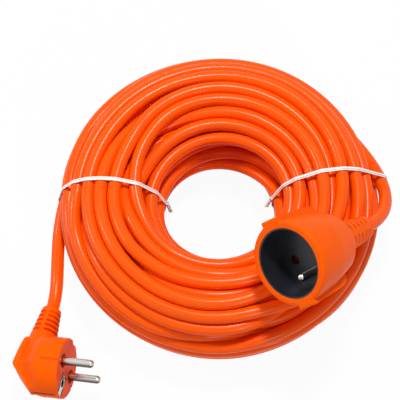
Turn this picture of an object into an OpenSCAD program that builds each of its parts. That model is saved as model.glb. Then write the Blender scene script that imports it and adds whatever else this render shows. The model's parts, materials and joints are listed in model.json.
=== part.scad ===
// A 20 m mains extension lead, wound in a round coil and held by two twist ties.
// The angled plug lies beside the coil and the coupler socket leans on its bundle.

/* [Cord] */
// Diameter of the three core cord
cord_d = 8; // [7:0.1:9]
// Diameter of one insulated conductor
wire_d = 2.6; // [2:0.1:2.8]

/* [Coil] */
// Radius from the coil's middle to the middle of its bundle
coil_r = 66; // [62:1:74]
// Width across the bundle of turns
bundle_d = 64; // [58:1:68]
// Angle round the bundle at which the socket's cord joins the outer layer
start_angle = 5; // [3:1:8]

/* [Ties] */
// Width of a tie's strip
tie_w = 2.4; // [1.5:0.1:5]
// Thickness of a tie's strip
tie_t = 0.8; // [0.5:0.1:1]
// Length of a tie's twisted end
tie_tail = 11; // [6:1:20]

/* [Socket] */
// Diameter of the recess that takes the plug
recess_d = 39.2; // [39:0.1:41]
// Depth of the recess
recess_depth = 17.5; // [16:0.5:20]
// Outer diameter at the mouth
mouth_d = 49; // [48:0.5:54]
// Outer diameter half way along the barrel, where its taper gets steeper
waist_d = 44.6; // [44:0.1:48]
// Outer diameter at the rear shoulder
shoulder_d = 35; // [34:0.5:44]
// How far the rear shoulder lies behind the reach of a plug's pins
back_margin = 4.5; // [4:0.5:12]
// Length of the bevelled rear
bevel_len = 8; // [5:0.5:12]
// Length of the socket's strain relief
socket_relief_len = 27; // [20:1:40]
// How far a grip lug stands out from the mouth
lug_rise = 2; // [1:0.5:6]
// Width of a grip lug
lug_w = 12; // [6:0.5:18]
// Length of a grip lug
lug_len = 34; // [20:1:38]
// Wall of the black liner
liner_wall = 0.9; // [0.8:0.1:1.3]
// Thickness of the recess floor
floor_t = 3; // [2:0.1:4]
// Diameter of the holes that let the plug's pins in
entry_d = 5.8; // [5.4:0.1:6.6]
// Travel of the safety shutter
shutter_travel = 6; // [5.5:0.1:6.5]

/* [Plug] */
// Diameter of the plug's face
face_d = 38; // [37:0.1:39]
// Distance between the two pins, and between the two contacts
pin_pitch = 19; // [18.5:0.1:19.5]
// Diameter of a pin
pin_d = 4.8; // [4:0.1:5]
// Length of a pin beyond the face
pin_len = 19; // [17:0.5:20]
// Distance from the pin line to the earth pin
earth_offset = 10; // [9.5:0.1:10.5]
// Length of the earth pin above the recess floor
earth_len = 14; // [12:0.5:15]
// Depth of the plug at its rear ridge
ridge_depth = 35; // [33:0.5:42]
// Width of the rear grip plate
grip_w = 39.6; // [39:0.1:46]
// Thickness of the rear grip plate
grip_t = 3; // [2:0.5:6]
// Length of the plug's strain relief
plug_relief_len = 20.5; // [16:0.5:30]

/* [Hidden] */
$fn = 48;

cord_color = "#ff5f0f";
black = "#1d1f24";
nickel = "#c8c8cc";
brass = "#c9a24b";

// Clearances
turn_gap = 0.7;
slip = 0.05;
ease = 0.3;
seat_gap = 0.3;

// ---------- The coil ----------
bundle_r = bundle_d / 2;
// The coil is cut flat where it stands, a tenth of the cord deep.
flat_depth = cord_d / 10;
coil_z = bundle_r - flat_depth;
// A six sided tube whose corners stand out by this much holds the round cord's volume.
tube_r = 0.525 * cord_d;
turn_r = bundle_r - tube_r;
outer_turns = floor(2 * PI * turn_r / (cord_d + turn_gap));
turn_step = 360 / outer_turns;
stations = 24;
sides = 6;
start_azimuth = 40;
end_azimuth = 160;
ring_count = (outer_turns - 1) * stations + (end_azimuth - start_azimuth) * stations / 360 + 1;
tie_left_azimuth = 175;
tie_right_azimuth = 10;
tie_floor = 0.15;
tie_slack = 0.3;
// Between two rings a turn cuts the corner by this much, towards the core.
turn_sag = (coil_r + turn_r) * (1 - cos(180 / stations));
core_r = turn_r - tube_r - turn_sag - slip;

// Moves the coil's middle so that the whole part is centred on the origin
middle = [10.64, 11.41, 0];
module placed() {
  translate(middle)
    children();
}

function unit(v) = v / norm(v);
function ahead(a) = [-sin(a), cos(a), 0];
function outward(a, s) = [cos(a) * cos(s), sin(a) * cos(s), sin(s)];
function bundle_centre(a) = [coil_r * cos(a), coil_r * sin(a), coil_z];
function on_bundle(a, s, r) = bundle_centre(a) + r * outward(a, s);

// Azimuth and bundle angle of ring i of the outer layer
function ring_azimuth(i) = start_azimuth + i * 360 / stations;
function ring_angle(i) = start_angle + i * turn_step / stations;
function ring_centre(i) = on_bundle(ring_azimuth(i), ring_angle(i), turn_r);

// The underside of the turns: the floor, or just above a tie that passes beneath
function apart(a, b) = abs(((a - b) % 360 + 540) % 360 - 180);
function near_tie(a) = min(apart(a, tie_left_azimuth), apart(a, tie_right_azimuth)) < 180 / stations;
function underside(a) = near_tie(a) ? tie_floor + tie_t + seat_gap : 0;
function kept_above(p, z) = [p.x, p.y, max(p.z, z)];

function turn_ring(i, shift = 0) = [
  for (k = [0 : sides - 1])
    let (a = ring_azimuth(i), s = ring_angle(i), w = 360 * k / sides)
    kept_above(
      ring_centre(i) + shift * ahead(a) + tube_r * cos(w) * outward(a, s)
        + tube_r * sin(w) * outward(a, s + 90),
      underside(a))
];

// Each end runs on straight for one cord diameter.
winding_rings = concat(
  [turn_ring(0, -cord_d)],
  [for (i = [0 : ring_count - 1]) turn_ring(i)],
  [turn_ring(ring_count - 1, cord_d)]);
winding_start = ring_centre(0) - cord_d * ahead(start_azimuth);
winding_end = ring_centre(ring_count - 1) + cord_d * ahead(end_azimuth);

// The least gap between neighbouring turns, measured between their corner points
winding_gap = min([
  for (i = [0 : ring_count - 1 - stations])
    let (one = turn_ring(i), next = turn_ring(i + stations))
    min([for (p = one) min([for (q = next) norm(p - q)])])
]);
echo(winding_gap = winding_gap, outer_turns = outer_turns);

// A closed tube through rings of points that all hold the same number
module skin(rings) {
  n = len(rings[0]);
  last = (len(rings) - 1) * n;
  polyhedron(
    points = [for (ring = rings) each ring],
    faces = concat(
      [for (i = [0 : len(rings) - 2], j = [0 : n - 1])
        [i * n + j, i * n + (j + 1) % n, (i + 1) * n + j]],
      [for (i = [0 : len(rings) - 2], j = [0 : n - 1])
        [i * n + (j + 1) % n, (i + 1) * n + (j + 1) % n, (i + 1) * n + j]],
      [for (j = [1 : n - 2]) [0, j + 1, j]],
      [for (j = [1 : n - 2]) [last, last + j, last + j + 1]]));
}

// A round tube along a route, with its first and last ring square to the given directions
function tangent(path, i, first, final) =
  i == 0 ? first : i == len(path) - 1 ? final : unit(path[i + 1] - path[i - 1]);
// The rings are turned by a direction that the route never runs along.
level = [0.1, 0.2, 1];
function round_ring(p, t, d, n, turned_by) =
  let (u = unit(cross(t, turned_by)), v = cross(t, u))
  [for (k = [0 : n - 1]) p + d / 2 * (cos(360 * k / n) * u + sin(360 * k / n) * v)];
module tube(path, d, first, final, n, turned_by = level) {
  skin([
    for (i = [0 : len(path) - 1])
      round_ring(path[i], tangent(path, i, first, final), d, n, turned_by)
  ]);
}

// A smooth route from p to q that leaves along a and arrives along b
function curve_point(p, a, b, q, t) =
  pow(1 - t, 3) * p + 3 * pow(1 - t, 2) * t * (p + a) + 3 * (1 - t) * t * t * (q - b) + pow(t, 3) * q;
function curve(p, a, b, q, parts) =
  [for (i = [0 : parts]) curve_point(p, a, b, q, i / parts)];

// Where a route passes an azimuth, seen in the bundle's section there
function azimuth_of(p) = (atan2(p.y, p.x) + 360) % 360;
function off_plane(p, a) = ((azimuth_of(p) - a) % 360 + 540) % 360 - 180;
function section_of(p) = [norm([p.x, p.y]) - coil_r, p.z - coil_z];
function at_azimuth(path, a) = [
  for (i = [0 : len(path) - 2])
    let (u = off_plane(path[i], a), v = off_plane(path[i + 1], a))
    if (u * v <= 0 && abs(u - v) < 180)
      section_of(path[i] + u / (u - v) * (path[i + 1] - path[i]))
][0];

module coil_core() {
  color(cord_color)
    placed()
      translate([0, 0, coil_z])
        rotate_extrude($fn = 96)
          translate([coil_r, 0])
            circle(r = core_r);
}

module coil_winding() {
  color(cord_color)
    placed()
      skin(winding_rings);
}

// ---------- Where the socket lies ----------
barrel_len = recess_depth + pin_len + back_margin;
socket_lean = 56;
socket_heading = 220;
socket_roll = 66;
seat_azimuth = -34.8;
seat_angle = 77.1;
// The socket rests with its relief on the bundle, so its shoulder stands off by this much.
seat_lift = 3.5;
socket_axis = [
  sin(socket_lean) * cos(socket_heading),
  sin(socket_lean) * sin(socket_heading),
  cos(socket_lean)
];
socket_len = barrel_len + bevel_len + socket_relief_len;
socket_shoulder = on_bundle(seat_azimuth, seat_angle, bundle_r + shoulder_d / 2 + seat_lift);
socket_at = socket_shoulder + barrel_len * socket_axis;
socket_tail = socket_at - socket_len * socket_axis;

module at_socket() {
  translate(middle + socket_at)
    rotate([0, socket_lean, socket_heading])
      rotate([0, 0, socket_roll])
        children();
}

// ---------- Where the plug lies ----------
plug_heading = -10;
plug_pitch = 10;
plug_roll = -10;
plug_x = -90.4;
plug_y = -101.5;
grip_round = 8;
front_depth = 18;
ridge_y = 3;
cable_edge_depth = 30.5;
floor_gap = 0.06;
// How far the rear lies behind the face, on the cord's side of the ridge
function rear_depth(y) =
  -ridge_depth + (y - ridge_y) * (ridge_depth - cable_edge_depth) / (face_d / 2 + 1 - ridge_y);
// The grip plate's lower corner stands on the floor.
grip_low = [
  grip_w / 2 - grip_round + grip_round * cos(plug_roll),
  face_d / 2 - grip_round - grip_round * sin(plug_roll)
];
plug_z = cos(plug_pitch) * (grip_low.x * cos(plug_roll) - grip_low.y * sin(plug_roll))
  - sin(plug_pitch) * rear_depth(grip_low.y) + floor_gap;
plug_at = [plug_x, plug_y, plug_z];
cable_depth = 20;
plug_relief_end = face_d / 2 - 0.5 + plug_relief_len;
pin_dir = [
  cos(plug_pitch) * cos(plug_heading),
  cos(plug_pitch) * sin(plug_heading),
  sin(plug_pitch)
];
cable_dir = [
  -sin(plug_roll) * sin(plug_pitch) * cos(plug_heading) - cos(plug_roll) * sin(plug_heading),
  -sin(plug_roll) * sin(plug_pitch) * sin(plug_heading) + cos(plug_roll) * cos(plug_heading),
  sin(plug_roll) * cos(plug_pitch)
];
plug_tail = plug_at - cable_depth * pin_dir + plug_relief_end * cable_dir;

module at_plug() {
  translate(middle + plug_at)
    rotate([0, 90 - plug_pitch, plug_heading])
      rotate([0, 0, plug_roll])
        children();
}

// ---------- The cord's free stretches ----------
// Each bows out by its handles between a strain relief and the end of the outer layer.
socket_handle = 22;
socket_join_handle = 60;
lead_parts = 12;
lead_sides = 10;
plug_handle = 26;
plug_join_handle = 42;
socket_route = curve(socket_tail, -socket_handle * socket_axis,
  socket_join_handle * ahead(start_azimuth), winding_start, lead_parts);
plug_route = curve(plug_tail, plug_handle * cable_dir,
  -plug_join_handle * ahead(end_azimuth), winding_end, lead_parts);

module socket_lead() {
  color(cord_color)
    placed()
      tube(socket_route, cord_d, -socket_axis, ahead(start_azimuth), lead_sides);
}

module plug_lead() {
  color(cord_color)
    placed()
      tube(plug_route, cord_d, cable_dir, -ahead(end_azimuth), lead_sides);
}

// ---------- Twist ties ----------
// The space inside a tie, seen along the cords, grown by some thickness
module tie_outline(grow, lead_at) {
  intersection() {
    hull() {
      circle(r = bundle_r + tie_slack + grow);
      translate(lead_at)
        circle(r = cord_d / 2 + tie_slack + grow);
    }
    translate([-2 * bundle_d, tie_floor + tie_t - grow - coil_z])
      square(4 * bundle_d);
  }
}

// The two ends are twisted round each other and stand off on the hole's side.
module twist_tie(azimuth, lead_at, tail_angle) {
  color("white")
    translate(middle)
      rotate([0, 0, azimuth])
        translate([coil_r, 0, coil_z]) {
        rotate([90, 0, 0])
          linear_extrude(tie_w, center = true)
            difference() {
              tie_outline(tie_t, lead_at);
              tie_outline(0, lead_at);
            }
        rotate([0, -tail_angle, 0])
          translate([bundle_r + tie_slack + tie_t, 0, 0])
            rotate([0, 60, 0])
              linear_extrude(tie_tail, twist = 540, slices = 18, $fn = 4)
                square([tie_t * 2, tie_w], center = true);
      }
}

module tie_left() {
  twist_tie(tie_left_azimuth, at_azimuth(plug_route, tie_left_azimuth), 168);
}

module tie_right() {
  twist_tie(tie_right_azimuth, at_azimuth(socket_route, tie_right_azimuth), 160);
}

// ---------- Parts that both ends share ----------
conductor_ring = 1.7;

wire_parts = 8;
wire_sides = 8;

// A conductor from p to q that leaves along a and arrives along b
module wire(p, a, b, q, turned_by) {
  tube(curve(p, a, b, q, wire_parts), wire_d, unit(a), unit(b), wire_sides, turned_by);
}

// A tapered strain relief along +Z, with a row of slots on two sides
relief_slots = 5;
slot_w = 1.5;
slot_share = 0.8;
module relief(base_d, tip_d, length, web) {
  pitch = slot_share * length / relief_slots;
  difference() {
    rotate_extrude()
      polygon([
        [0, -3],
        [base_d / 2, -3],
        [base_d / 2, 0],
        [tip_d / 2 + 0.3, length - 2],
        [tip_d / 2, length - 1],
        [tip_d / 2 - 1, length],
        [0, length]
      ]);
    for (i = [0 : relief_slots - 1])
      translate([0, 0, (i + 0.6) * pitch])
        difference() {
          cylinder(d = base_d + 4, h = slot_w);
          translate([0, 0, -1])
            cylinder(d = tip_d - 2, h = slot_w + 2);
          translate([-web / 2, -base_d, -1])
            cube([web, 2 * base_d, slot_w + 2]);
        }
  }
}

// ---------- The socket, with its mouth at z = 0 facing +Z ----------
liner_d = recess_d + 2 * liner_wall;
floor_z = -recess_depth;
carrier_z = floor_z - floor_t;
shutter_t = 2;
shutter_z = carrier_z - ease - shutter_t;
pocket_depth = shutter_t + 2 * ease;
contact_wall = 0.9;
contact_bore = pin_d + 0.1;
contact_d = contact_bore + 2 * contact_wall;
contact_base = 1;
contact_z = floor_z - pin_len - 0.4 - contact_base;
contact_len = carrier_z - pocket_depth - contact_z;
carrier_back = contact_z - 0.6;
carrier_len = carrier_z - carrier_back;
// The carrier has a wide front, which holds the shutter's pocket.
flange_back = carrier_z - pocket_depth - 1.1;
tail_d = 3;
tail_len = 3;
jacket_z = -barrel_len - bevel_len - 3;
earth_d = pin_d;
shank_d = 4;
earth_collar_d = 7.5;
earth_collar_t = 1.5;
socket_relief_d = 20;
socket_relief_tip = 13.5;
carrier_d = 30;
waist_share = 0.55;
rim_round = 1.2;

module socket_body() {
  color(cord_color)
    at_socket()
      difference() {
        union() {
          rotate_extrude()
            polygon([
              [0, -rim_round],
              [0, 0],
              [mouth_d / 2 - rim_round, 0],
              [mouth_d / 2 - 0.35 * rim_round, -0.35 * rim_round],
              [mouth_d / 2, -rim_round],
              [mouth_d / 2 - 0.2, -5],
              [waist_d / 2, -waist_share * barrel_len],
              [shoulder_d / 2 + 0.5, -barrel_len + 1.5],
              [shoulder_d / 2 - 0.5, -barrel_len],
              [socket_relief_d / 2 + 1.5, -barrel_len - bevel_len],
              [0, -barrel_len - bevel_len]
            ]);
          for (side = [0, 180])
            rotate([0, 0, side])
              grip_lug();
          translate([0, 0, -barrel_len - bevel_len])
            rotate([180, 0, 0])
              relief(socket_relief_d, socket_relief_tip, socket_relief_len, 4);
        }
        translate([0, 0, flange_back])
          cylinder(d = liner_d, h = 100);
        translate([0, 0, carrier_back])
          cylinder(d = carrier_d, h = 100);
        // Room for the conductors, closing on the cord
        translate([0, 0, jacket_z])
          cylinder(d1 = cord_d, d2 = carrier_d, h = carrier_back - jacket_z);
        translate([0, 0, -socket_len - 1])
          cylinder(d = cord_d, h = socket_len);
      }
}

// A flat lug that runs back along the barrel and fades into it
lug_out = mouth_d / 2 + lug_rise;
lug_root = carrier_d / 2 + 1;
module grip_lug() {
  translate([0, lug_w / 2, 0])
    rotate([90, 0, 0])
      linear_extrude(lug_w)
        polygon([
          [lug_root, 0],
          [lug_out - 0.8, 0],
          [lug_out, -0.8],
          [lug_out - 1.5, -0.7 * lug_len],
          [lug_out - 2.4, -0.88 * lug_len],
          [lug_out - 3.6, -0.95 * lug_len],
          [lug_out - 6, -lug_len],
          [lug_root, -lug_len]
        ]);
}

module both_contacts() {
  for (side = [-1, 1])
    translate([0, side * pin_pitch / 2, 0])
      children();
}

module socket_liner() {
  color(black)
    at_socket()
      difference() {
        translate([0, 0, carrier_z])
          cylinder(d = liner_d, h = -carrier_z - 0.4);
        translate([0, 0, floor_z])
          cylinder(d = recess_d, h = recess_depth + 1);
        both_contacts()
          translate([0, 0, carrier_z - 1])
            cylinder(d = entry_d, h = floor_t + 2);
        translate([earth_offset, 0, carrier_z - 1])
          cylinder(d = shank_d, h = floor_t + 2);
        // A shallow step where the pins land, and a bare field beside it
        translate([0, 0, floor_z - 0.4])
          difference() {
            cylinder(d = recess_d - 3, h = 1);
            translate([0, 0, -1])
              cylinder(d = recess_d - 4.5, h = 3);
          }
      }
}

// The shutter slides across both contacts in a pocket of this size
shutter_w = pin_pitch + entry_d + 2;
shutter_front = entry_d / 2 + 0.4;
shutter_rear = shutter_front + 0.6;
shutter_arm = 5;
pocket_x0 = -shutter_rear - shutter_travel - ease;
pocket_x1 = shutter_front + ease;

module socket_carrier() {
  color(black)
    at_socket()
      difference() {
        union() {
          translate([0, 0, carrier_back])
            cylinder(d = carrier_d, h = carrier_len);
          translate([0, 0, flange_back])
            cylinder(d = liner_d, h = carrier_z - flange_back);
        }
        translate([pocket_x0, -shutter_w / 2 - ease, carrier_z - pocket_depth])
          cube([pocket_x1 - pocket_x0, shutter_w + 2 * ease, pocket_depth + 1]);
        translate([pocket_x0 - spring_seat_depth, -spring_d / 2 - ease, carrier_z - pocket_depth])
          cube([spring_seat_depth + 1, spring_d + 2 * ease, pocket_depth + 1]);
        both_contacts()
          translate([0, 0, carrier_back - 1])
            cylinder(d = contact_d, h = carrier_len + 2);
        translate([earth_offset, 0, carrier_back - 1])
          cylinder(d = shank_d, h = carrier_len + 2);
        translate([earth_offset, 0, carrier_back - 1])
          cylinder(d = earth_collar_d, h = earth_collar_t + 1);
      }
}

// A sprung sleeve with a slit, and a solid tail that its conductor is crimped in
module socket_contact(side) {
  color(brass)
    at_socket()
      translate([0, side * pin_pitch / 2, contact_z]) {
        difference() {
          cylinder(d = contact_d, h = contact_len);
          translate([0, 0, contact_base])
            cylinder(d = contact_bore, h = contact_len);
          translate([0, -0.4, 3])
            cube([contact_d, 0.8, contact_len]);
        }
        translate([0, 0, carrier_back - tail_len - contact_z])
          cylinder(d = tail_d, h = contact_z - carrier_back + tail_len + 0.5);
      }
}

module socket_contact_line() {
  socket_contact(1);
}

module socket_contact_neutral() {
  socket_contact(-1);
}

module socket_earth_pin() {
  tip = floor_z + earth_len;
  color(nickel)
    at_socket()
      translate([earth_offset, 0, 0]) {
        translate([0, 0, floor_z])
          cylinder(d = earth_d, h = earth_len - earth_d / 2);
        translate([0, 0, carrier_back - tail_len])
          cylinder(d = shank_d, h = floor_z - carrier_back + tail_len);
        translate([0, 0, tip - earth_d / 2])
          sphere(d = earth_d);
        translate([0, 0, carrier_back])
          cylinder(d = earth_collar_d, h = earth_collar_t);
      }
}

// A plate over both contacts. Its sloped edges let the pins push it aside.
module socket_shutter() {
  color("#8e1020")
    at_socket()
      translate([0, 0, shutter_z]) {
        for (side = [-1, 1])
          translate([-shutter_rear, side * pin_pitch / 2 - (entry_d + 2) / 2, 0])
            ramped_plate(shutter_rear + shutter_front, entry_d + 2);
        translate([-shutter_rear, -pin_pitch / 2, 0])
          cube([shutter_arm, pin_pitch, shutter_t]);
      }
}

// The plate's top falls away towards the side that the pins press on.
module ramped_plate(length, width) {
  translate([0, width, 0])
    rotate([90, 0, 0])
      linear_extrude(width)
        polygon([
          [0, 0],
          [length, 0],
          [length, 0.5 * shutter_t],
          [0.6 * length, shutter_t],
          [0, shutter_t]
        ]);
}

// The shutter's spring is a small zigzag leaf between the plate and the pocket's end.
spring_d = 6;
spring_leaf = 0.4;
spring_seat_depth = 3;
spring_folds = 4;
module shutter_spring() {
  x0 = pocket_x0 - spring_seat_depth + 0.1;
  x1 = -shutter_rear - 0.15;
  step = (x1 - x0) / spring_folds;
  fold = spring_d / 2 - 2 * spring_leaf;
  half = spring_leaf / 2 * norm([step, 2 * fold]) / step;
  color(nickel)
    at_socket()
      translate([0, 0, shutter_z + 0.1])
        linear_extrude(shutter_t - 0.2)
          polygon(concat(
            [for (i = [0 : spring_folds]) [x0 + i * step, (i % 2 == 0 ? -fold : fold) + half]],
            [for (i = [spring_folds : -1 : 0])
              [x0 + i * step, (i % 2 == 0 ? -fold : fold) - half]]));
}

function cord_core(i) = conductor_ring * [cos(120 * i), sin(120 * i), 0];

module socket_wire(i, x, y, z_end) {
  at_socket()
    wire([cord_core(i).x, cord_core(i).y, jacket_z], [0, 0, 4], [0, 0, 4], [x, y, z_end],
      [1, 1, 0.1]);
}

module socket_wire_brown() {
  color("saddlebrown")
    socket_wire(1, 0, pin_pitch / 2, carrier_back - tail_len);
}

module socket_wire_blue() {
  color("steelblue")
    socket_wire(2, 0, -pin_pitch / 2, carrier_back - tail_len);
}

module socket_wire_earth() {
  color("yellowgreen")
    socket_wire(0, earth_offset, 0, carrier_back - tail_len);
}

module socket_cord_tail() {
  color(cord_color)
    at_socket()
      translate([0, 0, -socket_len])
        cylinder(d = cord_d, h = socket_len + jacket_z);
}

// ---------- The plug, with its face at z = 0 and its pins along +Z ----------
// The pins lie along X. The cord leaves along +Y and the earth hole lies towards -Y.
face_wall = 2;
bridge_w = 30;
bridge_h = 7;
bridge_d = 12;
bridge_neck_w = 16;
bridge_neck_h = 15;
well_d = 9;
channel_w = 7;
clip_channel_w = 5.4;
channel_deep = 2.2;
clip_w = 4.4;
clip_t = 0.8;
clip_y = face_d / 2 - channel_deep + clip_t;
clip_back = 15;
groove_w = 5;
groove_deep = 1.8;
groove_len = 17;
sleeve_wall = 0.8;
sleeve_len = 14;
plug_relief_d = 16.5;
plug_relief_tip = 11.6;
wire_room_w = 27;
wire_room_back = 25;
wire_room_y0 = -8;
jacket_y = 11;

// The plug's side view, in Y and depth: square at the face, with a two sided rear
module side_view(inset) {
  polygon([
    [-face_d / 2 - 1, 0],
    [face_d / 2 + 1, 0],
    [face_d / 2 + 1, -cable_edge_depth + inset],
    [ridge_y, -ridge_depth + inset],
    [-face_d / 2 - 1, -front_depth + inset]
  ]);
}

module across_x(width) {
  translate([-width / 2, 0, 0])
    rotate([90, 0, 90])
      linear_extrude(width)
        children();
}

module plug_shell() {
  // The round body, cut off by the two rear slopes
  intersection() {
    translate([0, 0, -ridge_depth - 1])
      cylinder(d = face_d, h = ridge_depth + 1);
    across_x(face_d + 2)
      side_view(0);
  }
  // The wide grip plate that covers the rear
  intersection() {
    translate([0, 0, -ridge_depth - 1])
      linear_extrude(ridge_depth + 1)
        grip_outline();
    difference() {
      across_x(grip_w + 2)
        side_view(0);
      across_x(grip_w + 4)
        translate([0, 0.01])
          side_view(grip_t);
    }
  }
}

// The grip plate seen from the rear, with round corners
module grip_outline() {
  x = grip_w / 2 - grip_round;
  y = face_d / 2 - grip_round;
  for (side = [-1, 1]) {
    translate([side * x, y])
      circle(r = grip_round);
    translate([side * x, -grip_round / 2])
      circle(r = grip_round);
  }
  translate([-x, -1.5 * grip_round])
    square([2 * x, y + 2.5 * grip_round]);
  translate([-x - grip_round, -grip_round / 2])
    square([2 * x + 2 * grip_round, y + grip_round / 2]);
}

module plug_body() {
  color(cord_color)
    at_plug()
      difference() {
        union() {
          plug_shell();
          translate([0, face_d / 2 - 0.5, -cable_depth])
            rotate([-90, 90, 0])
              relief(plug_relief_d, plug_relief_tip, plug_relief_len, 3);
        }
        // The black bridge sits behind the face, and shows in two wells and the earth slot.
        bridge_block();
        for (side = [-1, 1])
          translate([side * pin_pitch / 2, 0, -face_wall - 1])
            cylinder(d = well_d, h = face_wall + 2);
        translate([-channel_w / 2, -face_d / 2 - 1, -face_wall - 1])
          cube([channel_w, face_d / 2 - 3, face_wall + 2]);
        // Channels for the earth clips, and grooves for a socket's guide ribs
        for (side = [-1, 1])
          translate([0, side * (face_d / 2 - channel_deep / 2 + 0.5), -clip_back / 2 - 0.4])
            cube([clip_channel_w, channel_deep + 1, clip_back + 1.2], center = true);
        for (side = [-1, 1])
          translate([side * (face_d / 2), 0, -groove_len / 2 + 0.5])
            cube([2 * groove_deep, groove_w, groove_len + 1], center = true);
        clip_space();
        // Room for the conductors behind the bridge, and the cord's bore
        translate([-wire_room_w / 2, wire_room_y0, -wire_room_back])
          cube([wire_room_w, jacket_y - wire_room_y0, wire_room_back - face_wall - bridge_d]);
        translate([0, jacket_y - 1, -cable_depth])
          rotate([-90, 0, 0])
            cylinder(d = cord_d, h = plug_relief_end + 2);
      }
}

// The earth clip's way through the body, a little wider than the clip
module clip_space() {
  translate([-clip_w / 2 - slip, -clip_y - clip_t, -clip_back - clip_t])
    cube([clip_w + 2 * slip, 2 * (clip_y + clip_t), 2 * clip_t]);
}

// A wide part that holds both pins, and a narrower part round the earth sleeve
module bridge_block() {
  translate([-bridge_w / 2, -bridge_h, -face_wall - bridge_d])
    cube([bridge_w, 2 * bridge_h, bridge_d]);
  translate([-bridge_neck_w / 2, -bridge_neck_h, -face_wall - bridge_d])
    cube([bridge_neck_w, bridge_neck_h, bridge_d]);
}

module plug_bridge() {
  color(black)
    at_plug()
      difference() {
        union() {
          bridge_block();
          // The surround of the earth hole reaches the face.
          translate([-channel_w / 2, -bridge_neck_h, -face_wall - 0.1])
            cube([channel_w, bridge_neck_h - 4, face_wall - clip_t + 0.1]);
        }
        for (side = [-1, 1])
          translate([side * pin_pitch / 2, 0, -face_wall - bridge_d - 1])
            cylinder(d = shank_d, h = bridge_d + 2);
        translate([0, -earth_offset, -face_wall - bridge_d - 1])
          cylinder(d = contact_bore + 2 * sleeve_wall, h = bridge_d + face_wall + 2);
      }
}

module plug_pin(side) {
  back = face_wall + bridge_d + 3;
  color(nickel)
    at_plug()
      translate([side * pin_pitch / 2, 0, 0]) {
        translate([0, 0, -face_wall])
          cylinder(d = pin_d, h = face_wall + pin_len - pin_d / 2);
        translate([0, 0, -back])
          cylinder(d = shank_d, h = back);
        translate([0, 0, pin_len - pin_d / 2])
          sphere(d = pin_d);
      }
}

module plug_pin_line() {
  plug_pin(-1);
}

module plug_pin_neutral() {
  plug_pin(1);
}

// A sleeve that takes the socket's earth pin, on a face plate that runs to the plug's edge
module plug_earth_sleeve() {
  color(nickel)
    at_plug()
      difference() {
        union() {
          translate([-clip_w / 2, -clip_y, -clip_t])
            cube([clip_w, clip_y - 5, clip_t]);
          translate([0, -earth_offset, -sleeve_len])
            cylinder(d = contact_bore + 2 * sleeve_wall, h = sleeve_len);
        }
        translate([0, -earth_offset, -sleeve_len + 1])
          cylinder(d = contact_bore, h = sleeve_len + 1);
      }
}

// A strip bent round the inside, with its arms bare in the channels at both sides
module plug_earth_clip() {
  color(nickel)
    at_plug() {
      for (side = [0, 1])
        mirror([0, side, 0])
          translate([-clip_w / 2, clip_y - clip_t, -clip_back - clip_t / 2])
            cube([clip_w, clip_t, clip_back + clip_t / 2 - clip_t]);
      translate([-clip_w / 2, -clip_y, -clip_back - clip_t / 2])
        cube([clip_w, 2 * clip_y, clip_t]);
    }
}

module plug_wire(i, x, y, z_end) {
  at_plug()
    wire([cord_core(i).x, jacket_y, cord_core(i).y - cable_depth], [0, -5, 0], [0, 0, 4.5],
      [x, y, z_end], [1, 0.5, 0.5]);
}

module plug_wire_brown() {
  color("saddlebrown")
    plug_wire(1, -pin_pitch / 2, 0, -face_wall - bridge_d - 3);
}

module plug_wire_blue() {
  color("steelblue")
    plug_wire(0, pin_pitch / 2, 0, -face_wall - bridge_d - 3);
}

module plug_wire_earth() {
  color("yellowgreen")
    plug_wire(2, 0, -4, -clip_back - clip_t / 2);
}

module plug_cord_tail() {
  color(cord_color)
    at_plug()
      translate([0, jacket_y, -cable_depth])
        rotate([-90, 0, 0])
          cylinder(d = cord_d, h = plug_relief_end - jacket_y);
}

coil_core();
coil_winding();
socket_lead();
plug_lead();
tie_left();
tie_right();
plug_body();
plug_bridge();
plug_pin_line();
plug_pin_neutral();
plug_earth_sleeve();
plug_earth_clip();
plug_wire_brown();
plug_wire_blue();
plug_wire_earth();
plug_cord_tail();
socket_body();
socket_liner();
socket_carrier();
socket_contact_line();
socket_contact_neutral();
socket_earth_pin();
socket_shutter();
shutter_spring();
socket_wire_brown();
socket_wire_blue();
socket_wire_earth();
socket_cord_tail();
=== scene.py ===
"""An orange extension lead, wound in a round coil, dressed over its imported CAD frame.

The cord is one unbroken tube of the real length. Its turns are laid out by a short relaxation that pushes
them a cord's width apart. It leaves some of them pressed into each other, by up to 0.9 mm.

Lengths are in metres and angles in degrees. Azimuths run round the coil from +X, towards +Y.
"""
import json

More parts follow.
